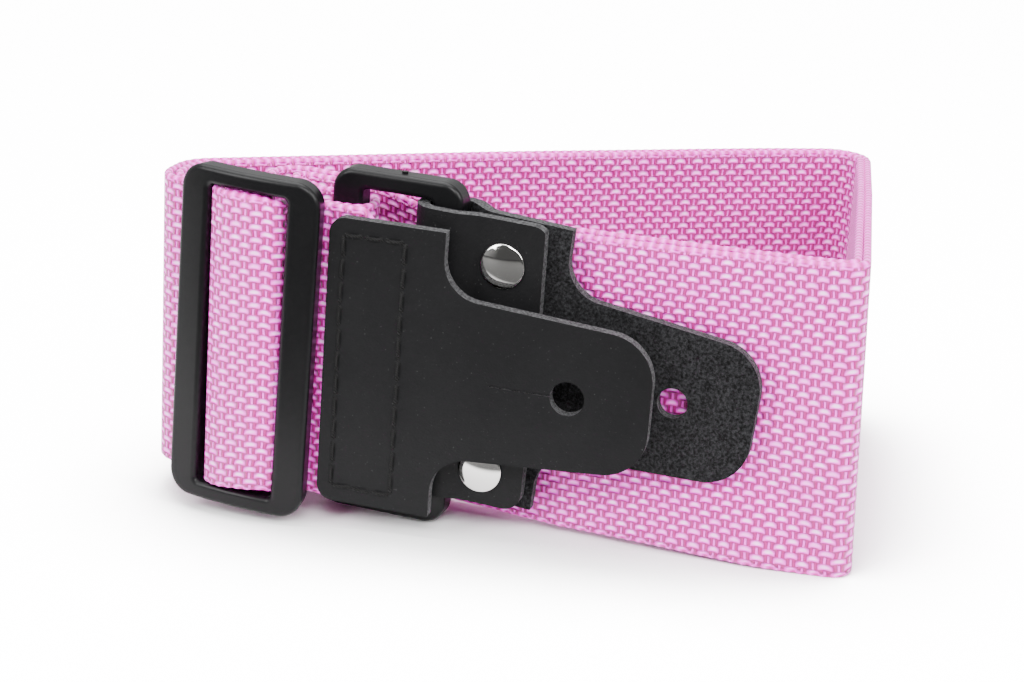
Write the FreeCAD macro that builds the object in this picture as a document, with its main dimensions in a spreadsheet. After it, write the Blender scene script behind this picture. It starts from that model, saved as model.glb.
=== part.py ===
import FreeCAD, Part
import math
import os

import Sketcher

# An adjustable instrument strap, wound up and standing on its edge: 50 mm webbing that runs
# through a three-bar slider and round the left bar of a rectangular ring, with two leather
# button tabs. The front tab is sewn to the free webbing end, and the rear tab is folded round
# the ring's right bar and held by two double-cap rivets.
#
# Strap frame: u runs to the right along the coil, v away from the front, w up the webbing's
# width. The strap frame leans clockwise by lean_angle, because the slider and the ring are
# taller than the webbing and lift its left end. Each plate has a frame of its own: x along the
# plate to the right, y through its thickness away from the front, z up its height.

DIMENSIONS = [  # millimetres and degrees
    ("web_width", 50.0),
    ("web_thick", 1.3),
    ("web_base", 0.35),
    ("layer_gap", 1.7),
    ("lean_angle", 2.4),
    ("frame_u", 51.27),
    ("frame_v", -38.4),
    ("frame_w", 0.68),
    ("slider_u", -98.25),
    ("slider_v", 18.8),
    ("slider_w", 25.75),
    ("slider_yaw", 22.0),
    ("slider_turn", 1.8),
    ("slider_curve", 60.0),
    ("slider_width", 24.3),
    ("slider_height", 57.3),
    ("slider_thick", 4.2),
    ("slider_bar", 5.2),
    ("slider_wall", 3.0),
    ("slider_corner", 4.2),
    ("slider_edge", 0.9),
    ("centre_bar_width", 3.4),
    ("centre_bar_thick", 2.4),
    ("centre_bar_edge", 0.8),
    ("turn_slack", 0.85),
    ("slack", 0.3),
    ("bar_slack", 1.5),
    ("ring_u", -74.0),
    ("ring_v", 20.93),
    ("ring_w", 26.0),
    ("ring_yaw", 19.5),
    ("ring_turn", 0.6),
    ("ring_slack", 0.75),
    ("ring_width", 22.5),
    ("ring_height", 58.2),
    ("ring_thick", 4.4),
    ("ring_bar", 5.2),
    ("ring_wall", 3.2),
    ("ring_corner", 3.6),
    ("ring_edge", 0.9),
    ("window_corner", 0.8),
    ("gate_radius", 0.5),
    ("gate_height", 0.35),
    ("leather_thick", 2.0),
    ("front_u", -85.0),
    ("front_v", 14.8),
    ("front_w", 24.9),
    ("front_yaw", 15.0),
    ("front_turn", 0.9),
    ("shoulder_half", 24.1),
    ("shoulder_corner", 2.6),
    ("shoulder_length", 19.2),
    ("notch_radius", 6.4),
    ("front_tip", 54.1),
    ("tongue_half", 13.3),
    ("tip_half", 11.0),
    ("tip_corner", 7.6),
    ("front_hole_radius", 2.8),
    ("rear_hole_radius", 2.5),
    ("button_inset", 13.4),
    ("slit_length", 10.0),
    ("slit_width", 0.16),
    ("stitch_left", 2.4),
    ("stitch_box_width", 10.2),
    ("stitch_box_height", 42.8),
    ("thread_width", 0.6),
    ("thread_height", 0.3),
    ("stitch_gap", 0.9),
    ("tail_start", 0.0),
    ("tail_end", 14.6),
    ("tail_cut", 9.4),
    ("anchor_left", -12.0),
    ("rear_u", -51.7),
    ("rear_v", 10.0),
    ("rear_w", 26.25),
    ("rear_yaw", 17.5),
    ("rear_turn", 2.9),
    ("long_turn", 2.0),
    ("fold_half", 25.0),
    ("flap_end", 0.9),
    ("flap_corner", 3.0),
    ("rear_shoulder", 3.0),
    ("rear_tip", 36.6),
    ("rear_bar_x", -15.91),
    ("rear_bar_y", 3.42),
    ("fold_slope", 3.0),
    ("fold_slack", 0.6),
    ("fold_depth_slack", 0.5),
    ("rivet_cap_radius", 3.7),
    ("rivet_cap_height", 1.0),
    ("rivet_rim", 0.35),
    ("rivet_post_radius", 1.3),
    ("rivet_x", -6.4),
    ("rivet_spacing", 35.0),
    ("rivet_drop", 0.8),
]
LONG_STITCHES = 11
SHORT_STITCHES = 3

doc = FreeCAD.newDocument("InstrumentStrap")
sheet = doc.addObject("Spreadsheet::Sheet", "Dimensions")
for row, (alias, value) in enumerate(DIMENSIONS, start=1):
    sheet.set("A%d" % row, alias)
    sheet.set("B%d" % row, str(value))
    sheet.setAlias("B%d" % row, alias)
doc.recompute()


def size(alias):
    """A driving dimension, read back from the sheet."""
    return float(sheet.get(alias))


# ---------------------------------------------------------------- frames


def strap_frame():
    """The leaning frame that the coil and every plate are placed in."""
    offset = FreeCAD.Vector(size("frame_u"), size("frame_v"), size("frame_w"))
    return FreeCAD.Placement(offset, FreeCAD.Rotation(FreeCAD.Vector(0, 1, 0), size("lean_angle")))


def plate_frame(plate, turn=0.0, inner=(0, 0, 0)):
    """A plate's frame, or the frame of a piece whose place on that plate is inner."""
    centre = FreeCAD.Vector(size(plate + "_u"), size(plate + "_v"), size(plate + "_w"))
    yaw = FreeCAD.Rotation(FreeCAD.Vector(0, 0, 1), -size(plate + "_yaw"))
    in_plane = FreeCAD.Rotation(FreeCAD.Vector(0, 1, 0), turn)
    plate_place = FreeCAD.Placement(centre, yaw.multiply(in_plane))
    inner_place = FreeCAD.Placement(FreeCAD.Vector(*inner), FreeCAD.Rotation())
    return strap_frame().multiply(plate_place).multiply(inner_place)


def on_plate(plate, x, y):
    """A point of a plate's level section, as the strap frame's u and v."""
    yaw = math.radians(size(plate + "_yaw"))
    return (
        size(plate + "_u") + x * math.cos(yaw) + y * math.sin(yaw),
        size(plate + "_v") - x * math.sin(yaw) + y * math.cos(yaw),
    )


# ---------------------------------------------------------------- ribbons


def unit(start, end):
    length = math.hypot(end[0] - start[0], end[1] - start[1])
    return ((end[0] - start[0]) / length, (end[1] - start[1]) / length)


def shifted(point, direction, side):
    """A point moved square to a direction, to its left where side is positive."""
    return (point[0] - side * direction[1], point[1] + side * direction[0])


def vector(point):
    return FreeCAD.Vector(point[0], point[1], 0)


def straight(start, end):
    return Part.LineSegment(vector(start), vector(end)).toShape()


def ribbon_side(corners, side):
    """One face of a ribbon seen on edge: straight runs joined by tangent arcs.

    corners holds (u, v, radius) for each vertex of the centreline; the ends have radius 0.
    Returns the edges, the first point and the last point.
    """
    first = shifted(corners[0], unit(corners[0], corners[1]), side)
    start, edges = first, []
    for before, corner, after in zip(corners, corners[1:], corners[2:]):
        come, go = unit(before, corner), unit(corner, after)
        turn = math.atan2(come[0] * go[1] - come[1] * go[0], come[0] * go[0] + come[1] * go[1])
        left = math.copysign(1, turn)
        reach = corner[2] * math.tan(abs(turn) / 2)
        enter = (corner[0] - reach * come[0], corner[1] - reach * come[1])
        leave = (corner[0] + reach * go[0], corner[1] + reach * go[1])
        centre = shifted(enter, come, left * corner[2])
        outward = unit(centre, corner)
        radius = corner[2] - left * side
        middle = (centre[0] + radius * outward[0], centre[1] + radius * outward[1])
        arc_start, arc_end = shifted(enter, come, side), shifted(leave, go, side)
        edges.append(straight(start, arc_start))
        edges.append(Part.Arc(vector(arc_start), vector(middle), vector(arc_end)).toShape())
        start = arc_end
    last = shifted(corners[-1], unit(corners[-2], corners[-1]), side)
    edges.append(straight(start, last))
    return edges, first, last


def ribbon(corners, thick, low, high):
    """A strip of even thickness that follows corners and stands from low to high."""
    left_edges, left_first, left_last = ribbon_side(corners, thick / 2)
    right_edges, right_first, right_last = ribbon_side(corners, -thick / 2)
    caps = [straight(left_last, right_last), straight(right_first, left_first)]
    outline = Part.Wire(Part.__sortEdges__(left_edges + right_edges + caps))
    face = Part.Face(outline)
    face.translate(FreeCAD.Vector(0, 0, low))
    return face.extrude(FreeCAD.Vector(0, 0, high - low))


def webbing_corners():
    """The webbing's centreline from behind the front tab to its sewn end on the centre bar."""
    half = size("web_thick") / 2
    bar_half = size("slider_thick") / 2
    slack = size("slack")
    behind = bar_half + size("bar_slack") + half  # behind the slider's outer bars
    pitch = size("web_thick") + slack  # from one layer to the next
    over_loop = bar_half - size("centre_bar_thick") - slack - half  # the sewn loop's front run
    over = over_loop - pitch
    loop_side = size("centre_bar_width") / 2 + size("turn_slack") + slack + half
    side = loop_side + pitch - slack / 2
    ring_bar = (size("ring_bar") - size("ring_width")) / 2  # the ring's left bar, on its plate
    wrap_x = ring_bar + size("ring_bar") / 2 + size("ring_slack") + half
    wrap_y = size("ring_thick") / 2 + slack + half

    def at_slider(x, y, radius):
        return on_plate("slider", x, y) + (radius,)

    def at_ring(x, y, radius):
        return on_plate("ring", x, y) + (radius,)

    return [
        on_plate("front", -3 * slack, size("leather_thick") + half) + (0,),  # the front tab's end
        at_slider(11.0, behind + slack, 1.2),
        at_slider(9.5, behind, 3.0),
        at_slider(side, behind, 1.2),
        at_slider(side, over, 1.3),  # over the sewn loop, in the slider's window
        at_slider(-side, over, 1.3),
        at_slider(-side, behind, 1.2),
        at_slider(-18.6, behind, 5.0),  # the coil's outer layer: left bend
        (-110.8, 40.6, 7.0),
        (-58.0, 58.7, 150.0),
        (-11.0, 72.9, 100.0),
        (9.3, 77.6, 6.0),  # back right bend
        (-0.9, 0.3, 2.6),  # front right bend
        (-14.0, 3.9, 60.0),
        (-30.0, 8.8, 60.0),
        (-47.0, 15.0, 60.0),
        (-58.0, 20.9, 60.0),
        (-75.5, 29.3, 20.0),
        (-91.6, 37.2, 1.5),  # tight turn towards the ring
        (-92.3, 33.8, 1.5),
        at_ring(wrap_x, wrap_y, 2.6),  # round the ring's left bar
        at_ring(wrap_x, -wrap_y, 2.6),
        at_ring(-size("ring_width") / 2 - 0.4, -wrap_y, 4.0),
        (-96.2, 30.1, 4.0),
        (-95.8, 42.6, 4.2),
        (-74.1, 32.1, 20.0),  # the coil's inner layer
        (-56.6, 23.8, 60.0),
        (-45.6, 18.2, 60.0),
        (-29.0, 11.8, 60.0),
        (-13.4, 6.2, 60.0),
        (-2.7, 2.3, 1.6),
        (7.2, 75.3, 4.4),
        (-10.6, 71.2, 100.0),
        (-57.5, 57.0, 150.0),
        (-109.3, 39.3, 5.4),
        at_slider(-16.9, behind + pitch, 3.6),
        at_slider(-loop_side, behind + pitch, 0.9),  # the sewn loop on the centre bar
        at_slider(-loop_side, over_loop, 1.0),
        at_slider(loop_side, over_loop, 1.0),
        at_slider(loop_side, behind + 2 * pitch, 1.0),
        at_slider(size("anchor_left"), behind + 2 * pitch, 0),
    ]


# ---------------------------------------------------------------- sketches and features


def new_body(name):
    body = doc.addObject("PartDesign::Body", name)
    body.Label = name
    return body


def new_sketch(body, name, role, offset=0.0):
    """A sketch on one of the body's origin planes, moved along the plane's normal by offset."""
    plane = [item for item in body.Origin.OriginFeatures if item.Role == role][0]
    sketch = body.newObject("Sketcher::SketchObject", name)
    sketch.AttachmentSupport = [(plane, "")]
    sketch.MapMode = "FlatFace"
    sketch.AttachmentOffset = FreeCAD.Placement(FreeCAD.Vector(0, 0, offset), FreeCAD.Rotation())
    return sketch


def draw_rectangle(sketch, wide, tall):
    """A rectangle centred on the sketch's origin, its sides bound to two expressions."""
    at = sketch.GeometryCount
    points = [(-1, -1), (1, -1), (1, 1), (-1, 1)]
    vectors = [FreeCAD.Vector(x * 5, y * 5, 0) for x, y in points]
    for index in range(4):
        sketch.addGeometry(Part.LineSegment(vectors[index], vectors[(index + 1) % 4]), False)
    for index in range(4):
        joined = (at + index, 2, at + (index + 1) % 4, 1)
        sketch.addConstraint(Sketcher.Constraint("Coincident", *joined))
    for index, way in enumerate(["Horizontal", "Vertical"] * 2):
        sketch.addConstraint(Sketcher.Constraint(way, at + index))
    sketch.addConstraint(Sketcher.Constraint("Symmetric", at, 1, at + 1, 2, -1, 1))
    width = sketch.addConstraint(Sketcher.Constraint("DistanceX", at, 1, at, 2, 10.0))
    height = sketch.addConstraint(Sketcher.Constraint("DistanceY", at + 1, 1, at + 1, 2, 10.0))
    sketch.setExpression("Constraints[%d]" % width, wide)
    sketch.setExpression("Constraints[%d]" % height, tall)


def draw_outline(sketch, edges):
    """A closed outline of lines and arcs whose points come from the sheet."""
    for edge in edges:
        sketch.addGeometry(edge, False)


def line(start, end):
    return Part.LineSegment(vector(start), vector(end))


def pad(body, sketch, length, symmetric=False, reverse=False):
    feature = body.newObject("PartDesign::Pad", sketch.Name + "Pad")
    feature.Profile = sketch
    feature.setExpression("Length", length)
    feature.Midplane = symmetric
    feature.Reversed = reverse
    doc.recompute()
    return feature


def pocket(body, sketch, reverse):
    """A cut right through, which is checked to remove something."""
    before = body.Shape.Volume
    feature = body.newObject("PartDesign::Pocket", sketch.Name + "Pocket")
    feature.Profile = sketch
    feature.Type = "ThroughAll"
    feature.Reversed = reverse
    doc.recompute()
    if not body.Shape.Volume < before:
        raise ValueError(sketch.Name + " cuts nothing")
    return feature


def fillet(body, radius, wanted):
    """Rounds the body's edges that wanted chooses."""
    base = body.Tip
    names = ["Edge%d" % (i + 1) for i, edge in enumerate(base.Shape.Edges) if wanted(edge)]
    feature = body.newObject("PartDesign::Fillet", body.Name + "Round")
    feature.Base = (base, names)
    feature.setExpression("Radius", radius)
    doc.recompute()
    return feature


def runs_along(edge, axis):
    """True for a straight edge parallel to an axis of the body."""
    start, end = edge.Vertexes[0].Point, edge.Vertexes[-1].Point
    return edge.Curve.TypeId == "Part::GeomLine" and (end - start).normalize().dot(axis) ** 2 > 0.999


def on_depth(edge, depth):
    """True for an edge that lies on a face of constant y, at depth on either side."""
    box = edge.BoundBox
    return abs(box.YMax - box.YMin) < 1e-4 and abs(abs(box.YMax) - depth) < 1e-4


# ---------------------------------------------------------------- slider and ring


def open_frame(name, plate, turn):
    """A flat moulded frame with rounded bars, from the plate's dimensions."""
    body = new_body(name)
    sketch = new_sketch(body, name + "Outline", "XZ_Plane")
    draw_rectangle(sketch, "Dimensions.%s_width" % plate, "Dimensions.%s_height" % plate)
    draw_rectangle(
        sketch,
        "Dimensions.%s_width - 2 * Dimensions.%s_bar" % (plate, plate),
        "Dimensions.%s_height - 2 * Dimensions.%s_wall" % (plate, plate),
    )
    pad(body, sketch, "Dimensions.%s_thick" % plate, symmetric=True)
    depth = FreeCAD.Vector(0, 1, 0)
    outer = size(plate + "_width") / 2 - 0.01
    fillet(
        body,
        "Dimensions.%s_corner" % plate,
        lambda edge: runs_along(edge, depth) and abs(edge.BoundBox.Center.x) > outer,
    )
    fillet(
        body,
        "Dimensions.window_corner",
        lambda edge: runs_along(edge, depth) and abs(edge.BoundBox.Center.x) < outer - 2,
    )
    half = size(plate + "_thick") / 2
    fillet(body, "Dimensions.%s_edge" % plate, lambda edge: on_depth(edge, half))
    body.Placement = plate_frame(plate, turn)
    return body


def on_curved_face(edge):
    """True for an edge that lies in the curved slider's front or back face."""
    points = [edge.Vertexes[0].Point, edge.Vertexes[-1].Point]
    points.append(edge.valueAt((edge.FirstParameter + edge.LastParameter) / 2))
    reaches = [math.hypot(point.x, point.y - size("slider_curve")) for point in points]
    half = size("slider_thick") / 2
    from_faces = [abs(abs(reach - size("slider_curve")) - half) for reach in reaches]
    return max(from_faces) < 1e-3 and max(reaches) - min(reaches) < 1e-3


def draw_curved_section(sketch):
    """The curved slider seen from above: a sector of a ring, its bulge towards the front."""
    curve, half = size("slider_curve"), size("slider_thick") / 2
    angle = size("slider_width") / 2 / curve

    def at(reach, turn):
        return (reach * math.sin(turn), curve - reach * math.cos(turn))

    front, back = curve + half, curve - half
    ends = [at(front, -angle), at(front, 0), at(front, angle)]
    ends += [at(back, angle), at(back, 0), at(back, -angle)]
    vectors = [vector(point) for point in ends]
    sketch.addGeometry(Part.Arc(*vectors[:3]), False)
    sketch.addGeometry(line(ends[2], ends[3]), False)
    sketch.addGeometry(Part.Arc(*vectors[3:]), False)
    sketch.addGeometry(line(ends[5], ends[0]), False)


def slider_frame():
    """The curved three-bar slider, whose centre bar is thinner and set back."""
    body = new_body("slider_frame")
    section = new_sketch(body, "SliderSection", "XY_Plane")
    draw_curved_section(section)
    pad(body, section, "Dimensions.slider_height", symmetric=True)
    high, thick = size("slider_height") / 2, size("slider_thick")
    fillet(
        body,
        "Dimensions.slider_corner",
        lambda edge: edge.Curve.TypeId == "Part::GeomLine"
        and abs(edge.Length - thick) < 1e-3
        and abs(abs(edge.BoundBox.Center.z) - high) < 1e-3,
    )
    window = new_sketch(body, "SliderWindow", "XZ_Plane", 10)
    wide = "Dimensions.slider_width - 2 * Dimensions.slider_bar"
    draw_rectangle(window, wide, "Dimensions.slider_height - 2 * Dimensions.slider_wall")
    pocket(body, window, reverse=False)
    depth = FreeCAD.Vector(0, 1, 0)
    fillet(
        body,
        "Dimensions.window_corner",
        lambda edge: runs_along(edge, depth) and abs(edge.BoundBox.Center.z) < high - 2,
    )
    fillet(body, "Dimensions.slider_edge", on_curved_face)
    bar = new_sketch(body, "CentreBar", "XZ_Plane", 0.05 - thick / 2)
    inside = "Dimensions.slider_height - 2 * Dimensions.slider_wall + 1.6"
    draw_rectangle(bar, "Dimensions.centre_bar_width", inside)
    pad(body, bar, "Dimensions.centre_bar_thick")
    upward = FreeCAD.Vector(0, 0, 1)
    half = size("centre_bar_width") / 2
    fillet(
        body,
        "Dimensions.centre_bar_edge",
        lambda edge: runs_along(edge, upward)
        and abs(abs(edge.BoundBox.Center.x) - half) < 1e-3
        and edge.Length > 20,
    )
    body.Placement = plate_frame("slider", size("slider_turn"))
    return body


def ring():
    """The plain ring, with the small mark that the mould's gate leaves on its top."""
    body = open_frame("ring", "ring", size("ring_turn"))
    sketch = new_sketch(body, "GateMark", "XY_Plane", size("ring_height") / 2 - 0.4)
    circle = Part.Circle(FreeCAD.Vector(0.4, 0, 0), FreeCAD.Vector(0, 0, 1), size("gate_radius"))
    sketch.addGeometry(circle, False)
    pad(body, sketch, "Dimensions.gate_height + 0.4")
    return body


# ---------------------------------------------------------------- leather tabs


def tongue_half_outline(shoulder, tip):
    """The upper half of a tab's outline right of its shoulder, ending on the centre line."""
    notch, corner = size("notch_radius"), size("tip_corner")
    shoulder_half, tongue_half, tip_half = size("shoulder_half"), size("tongue_half"), size("tip_half")
    slope = (tongue_half - tip_half) / (tip - corner - shoulder - notch)
    lean = math.atan(slope)
    top = (shoulder, shoulder_half)
    notch_top = (shoulder, tongue_half + notch)
    notch_end = (shoulder + notch, tongue_half)
    bulge = notch * (1 - math.cos(math.radians(45)))
    notch_middle = (shoulder + bulge, tongue_half + bulge)
    centre = (tip - corner, tip_half - corner / math.cos(lean) + corner * slope)
    corner_start = (centre[0] + corner * math.sin(lean), centre[1] + corner * math.cos(lean))
    half_way = (math.pi / 2 - lean) / 2
    corner_middle = (centre[0] + corner * math.cos(half_way), centre[1] + corner * math.sin(half_way))
    corner_end = (tip, centre[1])
    return [
        ("line", top, notch_top),
        ("arc", notch_top, notch_middle, notch_end),
        ("line", notch_end, corner_start),
        ("arc", corner_start, corner_middle, corner_end),
        ("line", corner_end, (tip, 0.0)),
    ]


def mirrored(piece):
    """A piece of outline mirrored to the lower half and run the other way."""
    points = [(x, -z) for x, z in reversed(piece[1:])]
    return (piece[0], *points)


def outline_edges(left, shoulder, tip, corner):
    """A whole tab outline: an upper half, its mirror image, and the end at left."""
    half = size("shoulder_half")
    bulge = corner * (1 - math.cos(math.radians(45)))
    upper = [
        ("line", (left, 0.0), (left, half - corner)),
        ("arc", (left, half - corner), (left + bulge, half - bulge), (left + corner, half)),
        ("line", (left + corner, half), (shoulder, half)),
    ]
    upper += tongue_half_outline(shoulder, tip)
    pieces = upper + [mirrored(piece) for piece in reversed(upper)]
    curves = []
    for kind, *points in pieces:
        vectors = [vector(point) for point in points]
        curves.append(Part.LineSegment(*vectors) if kind == "line" else Part.Arc(*vectors))
    return curves


def front_tab():
    """The tab that is sewn to the webbing's free end, with its button hole and slit."""
    body = new_body("front_tab")
    sketch = new_sketch(body, "FrontOutline", "XZ_Plane")
    edges = outline_edges(0.0, size("shoulder_length"), size("front_tip"), size("shoulder_corner"))
    draw_outline(sketch, edges)
    pad(body, sketch, "Dimensions.leather_thick", reverse=True)
    hole_x = size("front_tip") - size("button_inset")
    hole = new_sketch(body, "FrontHole", "XZ_Plane")
    centre = FreeCAD.Vector(hole_x, 0, 0)
    hole.addGeometry(Part.Circle(centre, FreeCAD.Vector(0, 0, 1), size("front_hole_radius")), False)
    pocket(body, hole, reverse=False)
    slit = new_sketch(body, "FrontSlit", "XZ_Plane")
    half = size("slit_width") / 2
    inner = hole_x - size("front_hole_radius") + 0.4
    outer = hole_x - size("front_hole_radius") - size("slit_length")
    corners = [(outer, -half), (inner, -half), (inner, half), (outer, half)]
    draw_outline(slit, [line(corners[i], corners[(i + 1) % 4]) for i in range(4)])
    pocket(body, slit, reverse=False)
    body.Placement = plate_frame("front", size("front_turn"))
    return body


def rear_tab_corners():
    """The rear tab's centreline: flap, fold round the ring's right bar, and long part."""
    thick = size("leather_thick")
    bar_x, bar_y = size("rear_bar_x"), size("rear_bar_y")
    across = size("ring_thick") / 2 + size("fold_depth_slack") + thick / 2
    bar_half = size("ring_bar") / 2
    side = bar_half + size("fold_slack") + thick / 2
    beside = bar_x + bar_half + size("fold_slope")
    return [
        (size("flap_end"), thick / 2, 0),
        (beside, thick / 2, 4.0),
        (bar_x + bar_half - 0.4, bar_y - across, 4.0),
        (bar_x - side, bar_y - across, 2.6),
        (bar_x - side, bar_y + across, 2.6),
        (bar_x + bar_half + 0.4, bar_y + across, 3.0),
        (beside + 1.2, thick * 1.5 + 0.1, 3.0),
        (size("rear_tip") + 1, thick * 1.5 + 0.1, 0),
    ]


def rear_tab():
    """The tab that is folded round the ring's right bar, with its button and rivet holes."""
    half, tip, thick = size("shoulder_half"), size("rear_tip"), size("leather_thick")
    strip = ribbon(rear_tab_corners(), thick, -size("fold_half"), size("fold_half"))
    off_bar = size("rear_turn") - size("ring_turn")  # the tab isn't square to the ring's bar
    strip.rotate(FreeCAD.Vector(), FreeCAD.Vector(0, 1, 0), -off_bar)
    far_left, front, parting, back = -30.0, -6.0, thick + 0.05, 14.0
    long_edges = outline_edges(far_left, size("rear_shoulder"), tip, size("shoulder_corner"))
    long_face = Part.Face(Part.Wire(Part.__sortEdges__([edge.toShape() for edge in long_edges])))
    long_face.rotate(FreeCAD.Vector(), FreeCAD.Vector(1, 0, 0), 90)
    long_face.translate(FreeCAD.Vector(0, parting, 0))
    long_turn = FreeCAD.Rotation(FreeCAD.Vector(0, 1, 0), size("long_turn"))
    long_face.Placement = FreeCAD.Placement(FreeCAD.Vector(), long_turn).multiply(long_face.Placement)
    long_space = long_face.extrude(FreeCAD.Vector(0, back - parting, 0))
    flap_start = FreeCAD.Vector(far_left, front, -half)
    flap_space = Part.makeBox(size("flap_end") - far_left, parting - front, 2 * half, flap_start)
    corners = [
        edge
        for edge in flap_space.Edges
        if runs_along(edge, FreeCAD.Vector(0, 1, 0)) and edge.BoundBox.Center.x > 0
    ]
    flap_space = flap_space.makeFillet(size("flap_corner"), corners)
    shape = strip.common(long_space).fuse(strip.common(flap_space)).removeSplitter()
    depth = FreeCAD.Vector(0, 1, 0)
    hole_at = long_turn.multVec(FreeCAD.Vector(tip - size("button_inset"), front, 0))
    shape = shape.cut(Part.makeCylinder(size("rear_hole_radius"), back - front, hole_at, depth))
    for side in (1, -1):
        x, z, cap = size("rivet_x"), rivet_height(side), size("rivet_cap_radius")
        post_at = FreeCAD.Vector(x, front, z)
        shape = shape.cut(Part.makeCylinder(size("rivet_post_radius"), back - front, post_at, depth))
        shape = shape.cut(Part.makeCylinder(cap, -front, post_at, depth))
        pressed_at = FreeCAD.Vector(x, 2 * thick + 0.1, z)
        shape = shape.cut(Part.makeCylinder(cap, back - 2 * thick, pressed_at, depth))
    feature = doc.addObject("Part::Feature", "rear_tab")
    feature.Label = "rear_tab"
    feature.Shape = shape
    feature.Placement = plate_frame("rear", size("rear_turn"))
    return feature


# ---------------------------------------------------------------- rivets


def rivet_height(side):
    """Where a rivet is on the rear tab: side is 1 for the upper one and -1 for the lower."""
    return side * size("rivet_spacing") / 2 - size("rivet_drop")


def rivet_part(name, side, outline, at_depth):
    """One turned piece of a rivet, about an axis through the leather."""
    body = new_body(name)
    sketch = new_sketch(body, name + "Profile", "XY_Plane")
    draw_outline(sketch, outline)
    turned = body.newObject("PartDesign::Revolution", name + "Turned")
    turned.Profile = sketch
    turned.ReferenceAxis = (sketch, ["V_Axis"])
    turned.Angle = 360
    doc.recompute()
    inner = (size("rivet_x"), at_depth, rivet_height(side))
    body.Placement = plate_frame("rear", size("rear_turn"), inner)
    return body


def dome(radius, rim, height, way):
    """A low dome's half profile from its rim to its crown, with its flat face at depth 0."""
    crown, edge = way * height, way * rim
    sag = height - rim
    sphere = (radius * radius + sag * sag) / (2 * sag)
    part_way = radius * 0.55
    rise = math.sqrt(sphere * sphere - part_way * part_way) - (sphere - sag)
    shoulder = (part_way, edge + way * rise)
    return [
        line((radius, 0), (radius, edge)),
        Part.Arc(vector((radius, edge)), vector(shoulder), vector((0, crown))),
    ]


def rivet_cap(name, side):
    """The polished cap on the flap."""
    radius = size("rivet_cap_radius")
    profile = dome(radius, size("rivet_rim"), size("rivet_cap_height"), -1)
    crown = (0, -size("rivet_cap_height"))
    return rivet_part(name, side, profile + [line(crown, (0, 0)), line((0, 0), (radius, 0))], 0)


def rivet_stud(name, side):
    """The back cap with the post that reaches the front cap."""
    radius, post = size("rivet_cap_radius"), size("rivet_post_radius")
    back = 2 * size("leather_thick") + 0.1
    profile = dome(radius, size("rivet_rim"), size("rivet_cap_height"), 1)
    profile += [
        line((0, size("rivet_cap_height")), (0, -back)),
        line((0, -back), (post, -back)),
        line((post, -back), (post, 0)),
        line((post, 0), (radius, 0)),
    ]
    return rivet_part(name, side, profile, back)


# ---------------------------------------------------------------- webbing and thread


def solid_feature(name, shape, placement):
    feature = doc.addObject("Part::Feature", name)
    feature.Label = name
    feature.Shape = shape
    feature.Placement = placement
    return feature


def webbing():
    """The wound webbing, in one length from the front tab to its sewn end."""
    low = size("web_base")
    shape = ribbon(webbing_corners(), size("web_thick"), low, low + size("web_width"))
    return solid_feature("webbing", shape, strap_frame())


def webbing_tail():
    """The webbing's free end under the front tab, its corners cut off so that they don't show."""
    half, front = size("web_width") / 2, size("leather_thick")
    start, end, cut = size("tail_start"), size("tail_end"), size("tail_cut")
    points = [
        (start, -half),
        (end - cut, -half),
        (end, -half + cut),
        (end, half - cut),
        (end - cut, half),
        (start, half),
    ]
    corners = [FreeCAD.Vector(x, front, z) for x, z in points]
    face = Part.Face(Part.makePolygon(corners + corners[:1]))
    shape = face.extrude(FreeCAD.Vector(0, size("web_thick"), 0))
    return solid_feature("webbing_tail", shape, plate_frame("front", size("front_turn")))


def stitch(x, z, length, upright, depth):
    """One visible stitch: a short bar of thread that lies on a face at depth."""
    wide, high = size("thread_width"), size("thread_height")
    across, along = (wide, length) if upright else (length, wide)
    corner = FreeCAD.Vector(x - across / 2, depth, z - along / 2)
    return Part.makeBox(across, high, along, corner)


def stitch_box(left, depth):
    """A rectangle of stitches on one face, starting left of the plate's x."""
    wide, tall = size("stitch_box_width"), size("stitch_box_height")
    gap = size("stitch_gap")
    stitches = []
    pitch = tall / LONG_STITCHES
    for column in (left, left + wide):
        for index in range(LONG_STITCHES):
            z = (index + 0.5) * pitch - tall / 2
            stitches.append(stitch(column, z, pitch - gap, True, depth))
    pitch = wide / SHORT_STITCHES
    for z in (-tall / 2, tall / 2):
        for index in range(SHORT_STITCHES):
            stitches.append(stitch(left + (index + 0.5) * pitch, z, pitch - gap, False, depth))
    return stitches


def front_tab_stitching():
    """The box of stitches that joins the front tab to the webbing, on both faces."""
    faces = (-size("thread_height"), size("leather_thick") + size("web_thick"))
    stitches = [item for depth in faces for item in stitch_box(size("stitch_left"), depth)]
    place = plate_frame("front", size("front_turn"))
    return solid_feature("front_tab_stitching", Part.makeCompound(stitches), place)


def slider_level_frame():
    """The slider's frame without its turn, as the webbing runs level through it."""
    centre = FreeCAD.Vector(size("slider_u"), size("slider_v"), size("web_base") + 25)
    return FreeCAD.Placement(centre, FreeCAD.Rotation(FreeCAD.Vector(0, 0, 1), -size("slider_yaw")))


def anchor_stitching():
    """The stitches that hold the webbing's looped end, on the back of the loop's tail."""
    behind = size("slider_thick") / 2 + size("bar_slack") + size("web_thick") / 2
    face = behind + 2 * (size("web_thick") + size("slack")) + size("web_thick") / 2
    stitches = stitch_box(size("anchor_left") + 1.6, face)
    place = strap_frame().multiply(slider_level_frame())
    return solid_feature("anchor_stitching", Part.makeCompound(stitches), place)


# ---------------------------------------------------------------- build, check and write


def check(objects):
    """Stops before anything is written if an object failed or a sub-part isn't sound."""
    failed = [item.Name for item in doc.Objects if {"Invalid", "Error"} & set(item.State)]
    unsound = [item.Label for item in objects if item.Shape.isNull() or not item.Shape.isValid()]
    hollow = [item.Label for item in objects if not item.Shape.Solids]
    if failed or unsound or hollow:
        raise ValueError("failed %s, unsound %s, no solid %s" % (failed, unsound, hollow))


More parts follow.
